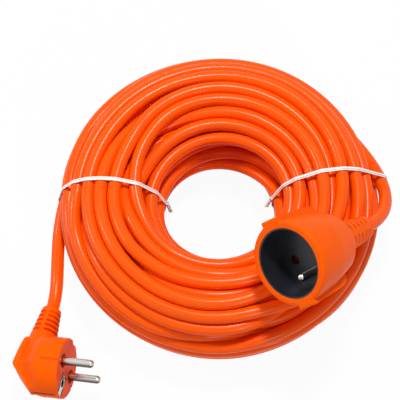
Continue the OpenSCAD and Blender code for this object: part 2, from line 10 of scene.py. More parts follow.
import bpy
import numpy as np
from bpy.props import FloatProperty, FloatVectorProperty, IntProperty, PointerProperty
from bpy.types import Operator, Panel, PropertyGroup
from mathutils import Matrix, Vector

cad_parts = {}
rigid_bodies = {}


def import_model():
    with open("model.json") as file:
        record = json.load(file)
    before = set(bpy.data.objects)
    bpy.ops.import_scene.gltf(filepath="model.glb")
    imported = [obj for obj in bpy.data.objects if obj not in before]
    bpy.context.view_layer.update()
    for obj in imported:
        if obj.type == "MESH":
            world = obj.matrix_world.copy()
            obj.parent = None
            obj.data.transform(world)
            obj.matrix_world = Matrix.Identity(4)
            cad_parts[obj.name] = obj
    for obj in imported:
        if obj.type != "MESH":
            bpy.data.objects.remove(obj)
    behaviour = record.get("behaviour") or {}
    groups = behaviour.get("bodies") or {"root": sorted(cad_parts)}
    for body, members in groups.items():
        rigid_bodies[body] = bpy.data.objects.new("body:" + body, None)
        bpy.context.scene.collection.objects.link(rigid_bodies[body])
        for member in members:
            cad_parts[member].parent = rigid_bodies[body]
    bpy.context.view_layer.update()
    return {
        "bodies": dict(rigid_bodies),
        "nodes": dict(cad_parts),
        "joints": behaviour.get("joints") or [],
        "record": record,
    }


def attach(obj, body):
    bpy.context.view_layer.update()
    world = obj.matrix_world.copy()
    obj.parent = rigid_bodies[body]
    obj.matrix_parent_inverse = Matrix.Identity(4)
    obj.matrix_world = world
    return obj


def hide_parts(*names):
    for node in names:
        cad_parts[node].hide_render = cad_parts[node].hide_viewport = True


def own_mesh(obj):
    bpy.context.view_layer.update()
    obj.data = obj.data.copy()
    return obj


bl_info = {
    "name": "Extension Cord",
    "version": (1, 0, 0),
    "blender": (4, 5, 0),
    "location": "View3D > Sidebar > Extension Cord",
    "description": "Dresses a coiled extension lead over its CAD frame",
    "category": "Object",
}

BODY = "lead"
FRAME = {}
COIL = {}  # the settled turns, which the ties hug

# ---------------------------------------------------------------- geometry shared with the CAD source
MIDDLE = np.array([0.01064, 0.01141, 0.0])
OUTER_TURNS = 20
STATION_STEP = 5.0
START_AZIMUTH = 40.0
END_AZIMUTH = 160.0
START_ANGLE = 5.0
END_ANGLE = START_ANGLE + 360 / OUTER_TURNS * (OUTER_TURNS - 1 + (END_AZIMUTH - START_AZIMUTH) / 360)
TIE_AZIMUTHS = (10.0, 175.0)
SOCKET_LEAN = 56.0
SOCKET_HEADING = 220.0
SOCKET_ROLL = 66.0
SOCKET_LENGTHS = (0.041, 0.035)
SEAT = (-34.8, 77.1)
SEAT_STANDOFF = 0.021
PLUG_HEADING = -10.0
PLUG_PITCH = 10.0
PLUG_ROLL = -10.0
PLUG_PLACE = (-0.0904, -0.1015, 0.02691)
TIE_WIDTH = 0.0024
TIE_THICKNESS = 0.0008
CABLE_BACK = 0.020
CABLE_OUT = 0.039
RELIEF_LENGTH = 0.0205
RELIEF_SLOTS = 5
RELIEF_SLOT_SHARE = 0.8
SOCKET_HANDLES = (0.022, 0.060)
PLUG_HANDLES = (0.026, 0.042)

# ---------------------------------------------------------------- geometry of this file alone
# By the first share the bundle is wider on its far side and narrower on its near side. By the second it
# is wider and higher on both.
FAR_SPREAD = 0.15
SWELL = 0.05
TURN_INSET = 0.525  # how far the outer layer's middle line lies inside the bundle, in cord diameters

SLOT_ROUNDS = 400
SLOT_APART = 1.03  # in cord diameters
STEP_CHANCE = 1.7  # how much chance weighs against nearness as the turns choose their next place
CROWDED = 1.4  # places nearer than this many diameters count as a crowd
CROWD_COST = 0.125
PLACE_STATION = 10  # where in each turn it reaches the place that it chose

TURN_APART = 1.005  # in cord diameters
PUSH = 0.45
STIFFNESS = 0.06
WANDER = 7e-5
WANDER_UNTIL = 0.6
EASE_AFTER = 0.4
EASE_ROUNDS = 80
EASE_REACH = 7  # points that are eased round a sharp bend
EASE = 0.25
FLOOR_ROOM = 0.0001
TIE_ROOM = 0.0010
UNTIED_ROOM = 0.0004

TIE_TAIL = 0.006
TIE_PITCH = 0.0036
TIE_SCREW = 0.0007
TIE_KNOT = 0.0008

PLUG_RADIUS = 0.0181
PLUG_RIM = 0.0009
PLUG_DEEPEST = 0.0310
PLUG_CREST = -0.005
FACE_LENGTH = 0.0172  # the UV's length over the plug's face
INSULATOR_MARK = -0.01  # the UV's length on the black insulator
RELIEF_START = 0.0185
RELIEF_SLOT = 0.0015
RELIEF_CORE = 0.0048
RELIEF_TIP = 0.0046

SPRING_ENDS = (-0.0131, -0.00405)
SPRING_DEPTH = -0.0218

# The Mix node's colour sockets share their names with its others, so they are told by number.
MIX_FACTOR, MIX_LOW, MIX_HIGH, MIX_RESULT = 0, 6, 7, 2


def ahead(azimuth):
    """The way the cord runs in the coil at an azimuth."""
    a = np.radians(azimuth)
    return np.array([-np.sin(a), np.cos(a), 0.0])


def on_bundle(props, azimuth, angle, reach):
    """A point at a reach from the bundle's middle line, seen at an angle in its section."""
    a, s = np.radians(azimuth), np.radians(angle)
    out = props.coil_radius + reach * np.cos(s)
    return np.array([out * np.cos(a), out * np.sin(a), props.bundle_height + reach * np.sin(s)])


def bezier(start, leave, arrive, end, count):
    """Points of the cubic curve from start to end that leaves along one vector and arrives along another."""
    t = np.linspace(0, 1, count)[:, None]
    return (
        (1 - t) ** 3 * start
        + 3 * (1 - t) ** 2 * t * (start + leave)
        + 3 * (1 - t) * t**2 * (end - arrive)
        + t**3 * end
    )


def socket_axis():
    """The way that the socket's mouth faces."""
    lean, heading = np.radians(SOCKET_LEAN), np.radians(SOCKET_HEADING)
    return np.array([np.sin(lean) * np.cos(heading), np.sin(lean) * np.sin(heading), np.cos(lean)])


def socket_shoulder(props):
    """Where the socket's barrel ends, beside the coil."""
    return on_bundle(props, SEAT[0], SEAT[1], props.bundle_radius + SEAT_STANDOFF)


def socket_lead(props):
    """The free stretch from the socket's strain relief to where the coil's outer layer takes it in."""
    tail = socket_shoulder(props) - SOCKET_LENGTHS[1] * socket_axis()
    turn_radius = props.bundle_radius - TURN_INSET * props.cord_diameter
    first = on_bundle(props, START_AZIMUTH, START_ANGLE, turn_radius)
    join = first - props.cord_diameter * ahead(START_AZIMUTH)
    leave = -SOCKET_HANDLES[0] * socket_axis()
    curve = bezier(tail, leave, SOCKET_HANDLES[1] * ahead(START_AZIMUTH), join, 40)
    return np.vstack([curve, first])


def plug_axes():
    """The way that the plug's pins point, and the way that its cord leaves."""
    heading, pitch, roll = np.radians((PLUG_HEADING, PLUG_PITCH, PLUG_ROLL))
    level = np.array([np.cos(heading), np.sin(heading), 0.0])
    side = np.array([-np.sin(heading), np.cos(heading), 0.0])
    pins = np.cos(pitch) * level + np.array([0, 0, np.sin(pitch)])
    lift = np.cos(pitch) * np.array([0, 0, 1.0]) - np.sin(pitch) * level
    return pins, np.cos(roll) * side + np.sin(roll) * lift


def plug_lead(props):
    """The free stretch from where the coil lets the cord go to the plug's strain relief."""
    pins, cable = plug_axes()
    tail = np.array(PLUG_PLACE) - CABLE_BACK * pins + CABLE_OUT * cable
    turn_radius = props.bundle_radius - TURN_INSET * props.cord_diameter
    last = on_bundle(props, END_AZIMUTH, END_ANGLE, turn_radius)
    join = last + props.cord_diameter * ahead(END_AZIMUTH)
    curve = bezier(join, PLUG_HANDLES[1] * ahead(END_AZIMUTH), -PLUG_HANDLES[0] * cable, tail, 40)
    return np.vstack([last, curve])


# ---------------------------------------------------------------- the coil's turns
def bundle_shape(props, azimuth):
    """How much wider and higher the bundle is at an azimuth, and how far its middle lies higher.

    Width 1 + 0.15 sin a + 0.05 sin^2 a and height 1 + 0.05 sin^2 a: the turns spread on the far side.
    """
    s = np.sin(np.radians(azimuth))
    scale = np.stack([1 + FAR_SPREAD * s + SWELL * s**2, 1 + SWELL * s**2], -1)
    raised = np.stack([0 * s, (scale[..., 1] - 1) * props.bundle_radius], -1)
    return scale, raised


def section_points(props, path):
    """Where a path lies in the bundle's section: distance outward and height from the middle line."""
    out = np.hypot(path[:, 0], path[:, 1]) - props.coil_radius
    return np.stack([out, path[:, 2] - props.bundle_height], 1)


def slot_places(props, count):
    """Places for the turns over the bundle's section: a sunflower spiral, pushed a cord's width apart."""
    reach = props.bundle_radius - props.cord_diameter / 2
    i = np.arange(count) + 0.5
    turn = i * np.pi * (3 - np.sqrt(5))
    places = (reach * np.sqrt(i / count))[:, None] * np.stack([np.cos(turn), np.sin(turn)], 1)
    apart = 1 - np.eye(count)
    for _ in range(SLOT_ROUNDS):
        offset = places[:, None] - places[None]
        gap = np.linalg.norm(offset, axis=2) + np.eye(count)
        press = np.clip(SLOT_APART * props.cord_diameter - gap, 0, None) / gap * apart
        places += 0.3 * (press[..., None] * offset).sum(1)
        far = np.linalg.norm(places, axis=1)
        places *= np.minimum(1, reach / far)[:, None]
    return places


def winding_order(props, places, rng):
    """An order that visits every place, from the outer side and back to it.

    Each step weighs how near the next place is, how crowded it lies, and chance.
    """
    reach = props.bundle_radius - props.cord_diameter / 2
    ends = np.radians((START_ANGLE, END_ANGLE))
    start, end = reach * np.stack([np.cos(ends), np.sin(ends)], 1)
    first = int(np.argmin(np.linalg.norm(places - start, axis=1)))
    left = set(range(len(places))) - {first}
    last = min(left, key=lambda k: np.linalg.norm(places[k] - end))
    left.discard(last)
    order = [first]
    near = np.linalg.norm(places[:, None] - places[None], axis=2) / props.cord_diameter
    while left:
        rest = np.array(sorted(left))
        crowd = CROWD_COST * (near[np.ix_(rest, rest)] < CROWDED).sum(1)
        cost = near[rest, order[-1]] + STEP_CHANCE * rng.random(len(rest)) + crowd
        order.append(int(rest[np.argmin(cost)]))
        left.discard(order[-1])
    return places[order + [last]]


def ease_sharp_bends(props, place, inner):
    """Draws a point to the line through its neighbours wherever the cord bends too tightly near it.

    The bend is measured in space, as the second difference of the points over their distance squared.
    """
    azimuth = np.radians(np.arange(len(place)) * STATION_STEP)
    out = props.coil_radius + place[:, 0]
    spot = np.stack([out * np.cos(azimuth), out * np.sin(azimuth), place[:, 1]], 1)
    apart = np.linalg.norm(spot[2:] - spot[:-2], axis=1) / 2
    curve = np.linalg.norm(spot[2:] + spot[:-2] - 2 * spot[1:-1], axis=1) / (apart**2 + 1e-9)
    sharp = np.zeros(len(place))
    sharp[1:-1] = curve > 1 / props.tightest
    sharp = inner & (np.convolve(sharp, np.ones(EASE_REACH), "same") > 0)
    bend = np.zeros_like(place)
    bend[1:-1] = place[:-2] + place[2:] - 2 * place[1:-1]
    place[sharp] += EASE * bend[sharp]


def coil_path(props):
    """The whole cord's middle line, from the socket's strain relief to the plug's, and its turns' sections.

    Every turn has a point at each of 72 stations round the coil. A point is free to move in the bundle's
    section there. In every round it is drawn towards the line through its neighbours along the cord, held
    straight by the cord's stiffness, pushed away from any turn that is less than a cord's width off, and
    drawn back inside the bundle and above the floor. The early rounds add a slow sideways wander, and
    the later ones ease the bends that are too tight. No pull wins outright, so some turns end a little
    less than a cord's width apart.
    """
    rng = np.random.default_rng(props.seed)
    stations = int(round(360 / STATION_STEP))
    turns = props.turns
    rows = turns + 1
    first = stations + int(START_AZIMUTH / STATION_STEP)
    last = turns * stations + int(END_AZIMUTH / STATION_STEP)
    total = rows * stations
    place = np.zeros((total, 2))
    known = np.zeros(total, bool)
    socket_side, plug_side = socket_lead(props), plug_lead(props)

    # The leads are fixed: the turns keep clear of them and run on into them.
    for path, row in ((socket_side, 1), (plug_side, turns)):
        azimuth = np.degrees(np.unwrap(np.arctan2(path[:, 1], path[:, 0])))
        section = section_points(props, path)
        at = np.arange(np.ceil(azimuth.min() / STATION_STEP), azimuth.max() / STATION_STEP).astype(int)
        for axis in (0, 1):
            place[row * stations + at, axis] = np.interp(at * STATION_STEP, azimuth, section[:, axis])
        known[row * stations + at] = True
    free = np.zeros(total, bool)
    free[first : last + 1] = True
    known |= free

    slots = winding_order(props, slot_places(props, turns), rng)
    along = np.arange(first, last + 1)
    held = first + np.arange(turns) * stations + PLACE_STATION
    scale, raised = bundle_shape(props, np.arange(total) * STATION_STEP)
    for axis in (0, 1):
        place[along, axis] = np.interp(along, held, slots[:, axis])
    place[along] = place[along] * scale[along] + raised[along]

    kernel = np.hanning(61)
    wander = np.stack([np.convolve(rng.normal(size=total), kernel, "same") for _ in range(2)], 1)
    wander /= wander.std()
    grid_known = known.reshape(rows, stations)
    pairs = grid_known[:, None] & grid_known[None] & ~np.eye(rows, dtype=bool)[..., None]
    pairs = np.moveaxis(pairs, 2, 0)
    inner = free.copy()
    inner[1:-1] &= known[:-2] & known[2:]
    deep = free.copy()
    deep[2:-2] &= known[:-4] & known[4:]
    tied = np.zeros(stations)
    tied[[int(a / STATION_STEP) for a in TIE_AZIMUTHS]] = 1
    limit = props.bundle_radius - props.cord_diameter / 2 + UNTIED_ROOM * (1 - np.tile(tied, rows))
    under_tie = np.convolve(np.tile(tied, 3), [0.35, 1, 0.35], "same")[stations : 2 * stations]
    on_floor = props.cord_diameter / 2 - props.bundle_height
    lowest = on_floor + FLOOR_ROOM + TIE_ROOM * np.tile(under_tie, rows)
    width = TURN_APART * props.cord_diameter
    for step in range(props.rounds):
        share = step / props.rounds
        bend = np.zeros_like(place)
        bend[1:-1] = place[:-2] + place[2:] - 2 * place[1:-1]
        place[inner] += 0.5 * (0.5 * (1 - share) + 0.5) * bend[inner]
        bend[1:-1] = place[:-2] + place[2:] - 2 * place[1:-1]
        change = np.zeros_like(place)
        change[2:-2] = bend[1:-3] + bend[3:-1] - 2 * bend[2:-2]
        place[deep] -= STIFFNESS * change[deep]
        if share < WANDER_UNTIL:
            place[free] += WANDER * wander[free]
        if share > EASE_AFTER:
            ease_sharp_bends(props, place, inner)
        grid = place.reshape(rows, stations, 2).transpose(1, 0, 2)
        offset = grid[:, :, None] - grid[:, None]
        gap = np.sqrt((offset**2).sum(-1)) + 1e-9
        press = np.clip(width - gap, 0, None) / gap * pairs
        push = PUSH * (press[..., None] * offset).sum(2)
        place[free] += push.transpose(1, 0, 2).reshape(-1, 2)[free]
        from_middle = place - raised
        far = np.sqrt(((from_middle / scale) ** 2).sum(1))
        over = free & (far > limit)
        place[over] -= (0.6 * (1 - limit[over] / far[over]))[:, None] * from_middle[over]
        under = free & (place[:, 1] < lowest)
        place[under, 1] += 0.7 * (lowest[under] - place[under, 1])

    for _ in range(EASE_ROUNDS):
        ease_sharp_bends(props, place, inner)

    # Twice as many rings as stations, on a smooth curve through them
    fine = np.linspace(first, last, 2 * (last - first) + 1)
    section = smooth_through(place, fine)
    azimuth = np.radians(fine * STATION_STEP)
    out = props.coil_radius + section[:, 0]
    turns_path = np.stack(
        [out * np.cos(azimuth), out * np.sin(azimuth), props.bundle_height + section[:, 1]], 1
    )
    path = np.vstack([socket_side[:-1], turns_path, plug_side[1:]])
    sections = place.reshape(rows, stations, 2), grid_known
    return path + MIDDLE, sections


def smooth_through(values, at):
    """Catmull-Rom interpolation of rows of values at fractional row numbers."""
    i = np.clip(np.floor(at).astype(int), 1, len(values) - 3)
    t = (at - i)[:, None]
    a, b, c, d = values[i - 1], values[i], values[i + 1], values[i + 2]
    return 0.5 * (
        2 * b + (c - a) * t + (2 * a - 5 * b + 4 * c - d) * t**2 + (3 * b - a - 3 * c + d) * t**3
    )


# ---------------------------------------------------------------- meshes
def mesh_object(name, points, quads, uvs=None, smooth=True):
    """An object from an array of points and an array of quads, with one UV per corner."""
    mesh = bpy.data.meshes.new(name)
    mesh.vertices.add(len(points))
    mesh.vertices.foreach_set("co", np.ascontiguousarray(points, dtype=np.float32).ravel())
    mesh.loops.add(quads.size)
    mesh.loops.foreach_set("vertex_index", quads.astype(np.int32).ravel())
    mesh.polygons.add(len(quads))
    mesh.polygons.foreach_set("loop_start", np.arange(0, quads.size, 4, dtype=np.int32))
    mesh.polygons.foreach_set("use_smooth", np.full(len(quads), smooth))
    if uvs is not None:
        layer = mesh.uv_layers.new(name="UVMap")
        layer.data.foreach_set("uv", np.ascontiguousarray(uvs, dtype=np.float32).ravel())
    mesh.update(calc_edges=True)
    mesh.validate()
    piece = bpy.data.objects.new(name, mesh)
    bpy.context.scene.collection.objects.link(piece)
    return piece


def grid_surface(name, *grids):
    """Surfaces through rings of points that close on themselves, in one object.

    Each grid is its rings, of the shape (count, sides, 3), and a length for each ring or each point. The
    UV runs round the ring from 0 to 1 and along it in metres.
    """
    points, quads, uvs, used = [], [], [], 0
    for rings, lengths in grids:
        count, sides = rings.shape[:2]
        i, j = np.meshgrid(np.arange(count - 1), np.arange(sides), indexing="ij")
        i, j = i.ravel(), j.ravel()
        near, far = used + i * sides, used + (i + 1) * sides
        quads.append(np.stack([near + j, near + (j + 1) % sides, far + (j + 1) % sides, far + j], 1))
        u = np.stack([j, j + 1, j + 1, j], 1) / sides
        v = np.broadcast_to(lengths.reshape(count, -1), (count, sides)).ravel()[quads[-1] - used]
        uvs.append(np.stack([u, v], 2))
        points.append(rings.reshape(-1, 3))
        used += count * sides
    return mesh_object(name, np.vstack(points), np.vstack(quads), np.vstack(uvs))


def path_lengths(path):
    """The distance along a path at each of its points."""
    return np.append(0, np.cumsum(np.linalg.norm(np.diff(path, axis=0), axis=1)))


def path_frames(path):
    """Unit vectors along a path, level across it, and square to both."""
    along = np.gradient(path, axis=0)
    along /= np.linalg.norm(along, axis=1)[:, None]
    across = np.cross(along, [0.0, 0.0, 1.0])
    across /= np.linalg.norm(across, axis=1)[:, None]
    return along, across, np.cross(across, along)


def outline(reach, ways):
    """How far each of a ring's points lies along a way, for every ring's own way."""
    return reach[None, :, None] * ways[:, None]


def round_tube(name, path, radius, sides):
    """A tube: at each point of the path a circle of the radius, square to the path."""
    _, across, up = path_frames(path)
    turn = np.linspace(0, 2 * np.pi, sides, endpoint=False)
    circle = outline(np.cos(turn), across) + outline(np.sin(turn), up)
    return grid_surface(name, (path[:, None] + radius * circle, path_lengths(path)))


# ---------------------------------------------------------------- materials
def new_material(name):
    """A material with only its Principled shader and output."""
    material = bpy.data.materials.new(name)
    material.use_nodes = True
    return material, material.node_tree, material.node_tree.nodes["Principled BSDF"]


def noise(tree, source, scale, detail=3.0, rough=0.55):
    """A noise texture that reads the given coordinate output."""
    node = tree.nodes.new("ShaderNodeTexNoise")
    node.inputs["Scale"].default_value = scale
    node.inputs["Detail"].default_value = detail
    node.inputs["Roughness"].default_value = rough
    tree.links.new(source, node.inputs["Vector"])
    return node.outputs["Fac"]


def ramp(tree, fac, stops):
    """A colour ramp with the given stops of position and colour."""
    node = tree.nodes.new("ShaderNodeValToRGB")
    while len(node.color_ramp.elements) > len(stops):
        node.color_ramp.elements.remove(node.color_ramp.elements[-1])
    while len(node.color_ramp.elements) < len(stops):
        node.color_ramp.elements.new(0.5)
    for element, (position, colour) in zip(node.color_ramp.elements, stops):
        element.position = position
        element.color = (*colour, 1)
    tree.links.new(fac, node.inputs["Fac"])
    return node.outputs["Color"]


def map_range(tree, fac, source=(0.0, 1.0), target=(0.0, 1.0)):
    """Maps a range of a factor onto a range of values, and holds what lies outside at the range's ends."""
    node = tree.nodes.new("ShaderNodeMapRange")
    for name, value in zip(("From Min", "From Max", "To Min", "To Max"), (*source, *target)):
        node.inputs[name].default_value = value
    tree.links.new(fac, node.inputs["Value"])
    return node.outputs["Result"]


def blend(tree, fac, low, high):
    """The colour low where the factor is 0, and what the socket high gives where it is 1."""
    node = tree.nodes.new("ShaderNodeMix")
    node.data_type = "RGBA"
    tree.links.new(fac, node.inputs[MIX_FACTOR])
    node.inputs[MIX_LOW].default_value = (*low, 1)
    tree.links.new(high, node.inputs[MIX_HIGH])
    return node.outputs[MIX_RESULT]


def cloudy(tree, fac, colour, low, high):
    """A colour that drifts with a noise between low and high times itself."""
    colour = np.array(colour)
    return ramp(tree, fac, [(0.3, tuple(colour * low)), (0.7, tuple(np.minimum(colour * high, 1)))])


def gloss(tree, shader, fac, smooth, rough):
    """Lets the shader's roughness drift between two values with a noise."""
    tree.links.new(map_range(tree, fac, target=(smooth, rough)), shader.inputs["Roughness"])


def separate(tree, vector):
    """The X, Y and Z outputs of a vector."""
    node = tree.nodes.new("ShaderNodeSeparateXYZ")
    tree.links.new(vector, node.inputs["Vector"])
    return node.outputs


def bump(tree, shader, height, strength, distance):
    """Puts a height on the shader as fine relief."""
    node = tree.nodes.new("ShaderNodeBump")
    node.inputs["Strength"].default_value = strength
    node.inputs["Distance"].default_value = distance
    tree.links.new(height, node.inputs["Height"])
    tree.links.new(node.outputs["Normal"], shader.inputs["Normal"])
    return node


def coordinates(tree, output="Object"):
    """The object's own coordinates, or another of the texture coordinates."""
    return tree.nodes.new("ShaderNodeTexCoord").outputs[output]


def plastic(name, colour, rough, speck, grain, relief, specular=0.5, edge=0.0):
    """Moulded plastic: faint cloudiness, uneven gloss, a fine grain and edges rounded by a radius."""
    material, tree, shader = new_material(name)
    place = coordinates(tree)
    tint = cloudy(tree, noise(tree, place, 35.0), colour, 1 - speck, 1 + speck)
    tree.links.new(tint, shader.inputs["Base Color"])
    gloss(tree, shader, noise(tree, place, 120.0), rough - 0.05, rough + 0.05)
    shader.inputs["Specular IOR Level"].default_value = specular
    grained = bump(tree, shader, noise(tree, place, grain, 4.0), relief, 0.0002)
    if edge:
        rounded = tree.nodes.new("ShaderNodeBevel")
        rounded.samples = 6
        rounded.inputs["Radius"].default_value = edge
        tree.links.new(rounded.outputs["Normal"], grained.inputs["Normal"])
    return material


def metal(name, colour, rough):
    """Plated metal with faint drawing marks, darker where its normal points along -Y or +Y.

    The surround is white all over, so nothing dark is there for it to reflect. The darker sides are
    painted dark reflection, which stands for that.
    """
    material, tree, shader = new_material(name)
    place = coordinates(tree)
    shader.inputs["Metallic"].default_value = 1.0
    colour = np.array(colour)
    normal = tree.nodes.new("ShaderNodeNewGeometry").outputs["Normal"]
    painted_reflection_side = map_range(tree, separate(tree, normal)["Y"], source=(-1.0, 1.0))
    lit = tuple(colour)
    # Painted reflection: near and far are dark tones painted where the normal points along -Y and along +Y.
    near, far = tuple(colour * (0.20, 0.16, 0.14)), tuple(colour * 0.45)
    tint = ramp(tree, painted_reflection_side, [(0.10, near), (0.32, lit), (0.82, lit), (0.97, far)])
    tree.links.new(tint, shader.inputs["Base Color"])
    gloss(tree, shader, noise(tree, place, 900.0), rough - 0.05, rough + 0.07)
    bump(tree, shader, noise(tree, place, 2500.0, 2.0), 0.08, 0.0001)
    return material


def cord_material(props):
    """Glossy PVC jacket: faint flow lines along the cord and a slow swell from the twisted cores."""
    material, tree, shader = new_material("cord_pvc")
    uv = coordinates(tree, "UV")
    stretch = tree.nodes.new("ShaderNodeMapping")
    stretch.inputs["Scale"].default_value = (6.0, 14.0, 1.0)
    tree.links.new(uv, stretch.inputs["Vector"])
    tint = cloudy(tree, noise(tree, stretch.outputs["Vector"], 3.0), props.cord_colour, 0.94, 1.04)
    tree.links.new(tint, shader.inputs["Base Color"])
    gloss(tree, shader, noise(tree, coordinates(tree), 90.0), 0.19, 0.26)
    shader.inputs["Specular IOR Level"].default_value = 0.14
    swell = noise(tree, stretch.outputs["Vector"], 9.0, 2.0)
    bump(tree, shader, swell, 0.05, 0.0004)
    return material


def assign(node, material):
    """Gives a carried-over CAD node its material."""
    piece = FRAME["nodes"][node]
    piece.data.materials.clear()
    piece.data.materials.append(material)


def finish_piece(piece, material, *replaced):
    """Gives a new piece its material and body, and hides the CAD nodes that it stands for."""
    piece.data.materials.append(material)
    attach(piece, BODY)
    if replaced:
        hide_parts(*replaced)


# ---------------------------------------------------------------- settings
class LeadSettings(PropertyGroup):
    """Sizes and colours of the coiled lead."""

    cord_diameter: FloatProperty(
        name="Cord diameter", description="Diameter of the cord", default=0.008, unit="LENGTH"
    )
    coil_radius: FloatProperty(
        name="Coil radius", description="From the coil's middle to the bundle's", default=0.066, unit="LENGTH"
    )
    bundle_radius: FloatProperty(
        name="Bundle radius", description="Half the width across the turns", default=0.032, unit="LENGTH"
    )
    bundle_height: FloatProperty(
        name="Bundle height", description="Height of the bundle's middle", default=0.0312, unit="LENGTH"
    )
    turns: IntProperty(name="Turns", description="Turns of cord in the coil", default=46)
    rounds: IntProperty(
        name="Rounds", description="Rounds of the relaxation that settles the turns", default=700
    )
    tightest: FloatProperty(
        name="Tightest", description="Least bend radius of the cord's turns", default=0.034, unit="LENGTH"
    )
    seed: IntProperty(name="Seed", description="Seed of the coil's irregularities", default=5)
    cord_colour: FloatVectorProperty(
        name="Cord", description="Colour of the jacket", default=(0.97, 0.097, 0.0003), subtype="COLOR"
    )
    body_colour: FloatVectorProperty(
        name="Bodies", description="Colour of the plug and socket",
        default=(0.97, 0.108, 0.0003), subtype="COLOR",
    )
    black_colour: FloatVectorProperty(
        name="Insulators", description="Colour of the black inserts",
        default=(0.012, 0.013, 0.018), subtype="COLOR",
    )
    shutter_colour: FloatVectorProperty(
        name="Shutter", description="Colour of the safety shutter",
        default=(0.28, 0.004, 0.012), subtype="COLOR",
    )
    tie_colour: FloatVectorProperty(
        name="Ties", description="Colour of the twist ties", default=(0.85, 0.85, 0.84), subtype="COLOR"
    )
    nickel_colour: FloatVectorProperty(
        name="Nickel", description="Colour of the plated metal", default=(0.62, 0.58, 0.53), subtype="COLOR"
    )


class LEAD_OT_cord(Operator):
    """Lays out the coil's turns and makes the cord as one tube"""

    bl_idname = "lead.cord"
    bl_label = "Make the cord"

    def execute(self, context):
        props = context.scene.lead_settings
        path, sections = coil_path(props)
        COIL["sections"] = sections
        path = path[::-1]
        cord = round_tube("cord", path, props.cord_diameter / 2, 16)
        finish_piece(cord, cord_material(props), "coil_core", "coil_winding", "plug_lead", "socket_lead")
        return {"FINISHED"}


def tie_loop(props, station, count):
    """The line that hugs every cord at a station: the outline of the discs' common hull, evenly spaced.

    In the direction of an angle the outline touches the disc that reaches farthest that way. The points
    of touch, taken in order of the angle, are the hull: round where a cord is touched, straight between.
    It starts and ends on the hole's side.
    """
    grid, known = COIL["sections"]
    discs = grid[known[:, station], station]
    turn = np.pi + np.linspace(0, 2 * np.pi, 1440)
    way = np.stack([np.cos(turn), np.sin(turn)], 1)
    reach = props.cord_diameter / 2 + TIE_THICKNESS / 2
    touch = discs[np.argmax(way @ discs.T, axis=1)] + reach * way
    length = path_lengths(touch)
    even = np.linspace(0, length[-1], count)
    return np.stack([np.interp(even, length, column) for column in (*touch.T, *way.T)], 1)


def twist_tie(props, name, azimuth, tail):
    """A flat strip with a wire in its middle, bent round the bundle, its ends twisted round each other.

    At a distance u from the middle of a strip W wide and T thick, its half thickness is
    T/2 (0.4 + 0.6 exp(-(u / 0.15 W)^2)). Each end leaves the loop on a screw line: radius 0.7 mm, one turn
    in 3.6 mm, along the tail's direction.
    """
    loop = tie_loop(props, int(azimuth / STATION_STEP), 260)
    a = np.radians(azimuth)
    out, up, width = np.array([np.cos(a), np.sin(a), 0]), np.array([0, 0, 1.0]), ahead(azimuth)
    centre = props.coil_radius * out + props.bundle_height * up + MIDDLE
    line = centre + loop[:, :1] * out + loop[:, 1:2] * up
    facing = loop[:, 2:3] * out + loop[:, 3:4] * up
    along = np.array(tail[0]) * out + tail[1] * width + tail[2] * up
    along /= np.linalg.norm(along)
    side = np.cross(along, width)
    side /= np.linalg.norm(side)
    level = np.cross(side, along)
    step = np.linspace(0, 1, 40)
    knot = line[0] - TIE_KNOT * out
    ends = []
    for start in (0, np.pi):
        turn = start + 2 * np.pi * TIE_TAIL * step / TIE_PITCH
        radial = np.cos(turn)[:, None] * side + np.sin(turn)[:, None] * level
        ends.append((knot + TIE_TAIL * step[:, None] * along + TIE_SCREW * radial, radial))
    line = np.vstack([ends[0][0][::-1], line[2:-2], ends[1][0]])
    facing = np.vstack([ends[0][1][::-1], facing[2:-2], ends[1][1]])
    course = np.gradient(line, axis=0)
    course /= np.linalg.norm(course, axis=1)[:, None]
    across = np.cross(course, facing)
    across /= np.linalg.norm(across, axis=1)[:, None]
    facing = np.cross(across, course)
    half = np.linspace(-1, 1, 9)
    place = np.append(half, half[::-1][1:-1]) * TIE_WIDTH / 2
    thick = TIE_THICKNESS / 2 * (0.4 + 0.6 * np.exp(-((place / (0.15 * TIE_WIDTH)) ** 2)))
    thick *= np.append(np.ones(9), -np.ones(7))
    rings = line[:, None] + outline(place, across) + outline(thick, facing)
    return grid_surface(name, (rings[:, ::-1], path_lengths(line)))


def tie_material(props):
    """White plastic with a grey line where the wire shows through, read from the strip's own UV."""
    material, tree, shader = new_material("tie_white")
    white, grey = tuple(props.tie_colour), tuple(np.array(props.tie_colour) * 0.45)
    wave = tree.nodes.new("ShaderNodeMath")
    wave.operation = "PINGPONG"
    wave.inputs[1].default_value = 0.25
    tree.links.new(separate(tree, coordinates(tree, "UV"))["X"], wave.inputs[0])
    tint = ramp(tree, wave.outputs["Value"], [(0.0, white), (0.19, white), (0.235, grey)])
    tree.links.new(tint, shader.inputs["Base Color"])
    gloss(tree, shader, noise(tree, coordinates(tree), 600.0), 0.32, 0.5)
    bump(tree, shader, noise(tree, coordinates(tree), 1500.0), 0.1, 0.0001)
    return material


class LEAD_OT_ties(Operator):
    """Bends a twist tie round the coil on each side"""

    bl_idname = "lead.ties"
    bl_label = "Make the ties"

    def execute(self, context):
        props = context.scene.lead_settings
        material = tie_material(props)
        for name, node, azimuth, tail in (
            ("right_tie", "tie_right", TIE_AZIMUTHS[0], (-0.45, -0.35, -0.8)),
            ("left_tie", "tie_left", TIE_AZIMUTHS[1], (-0.35, 0.4, -0.85)),
        ):
            finish_piece(twist_tie(props, name, azimuth, tail), material, node)
        return {"FINISHED"}


def window(value, low, high, edge=0.00025):
    """1 between low and high, 0 outside, with a smooth step of the width edge at both ends."""
    rise = np.clip((value - low) / edge + 0.5, 0, 1) * np.clip((high - value) / edge + 0.5, 0, 1)
    return rise**2 * (3 - 2 * rise)


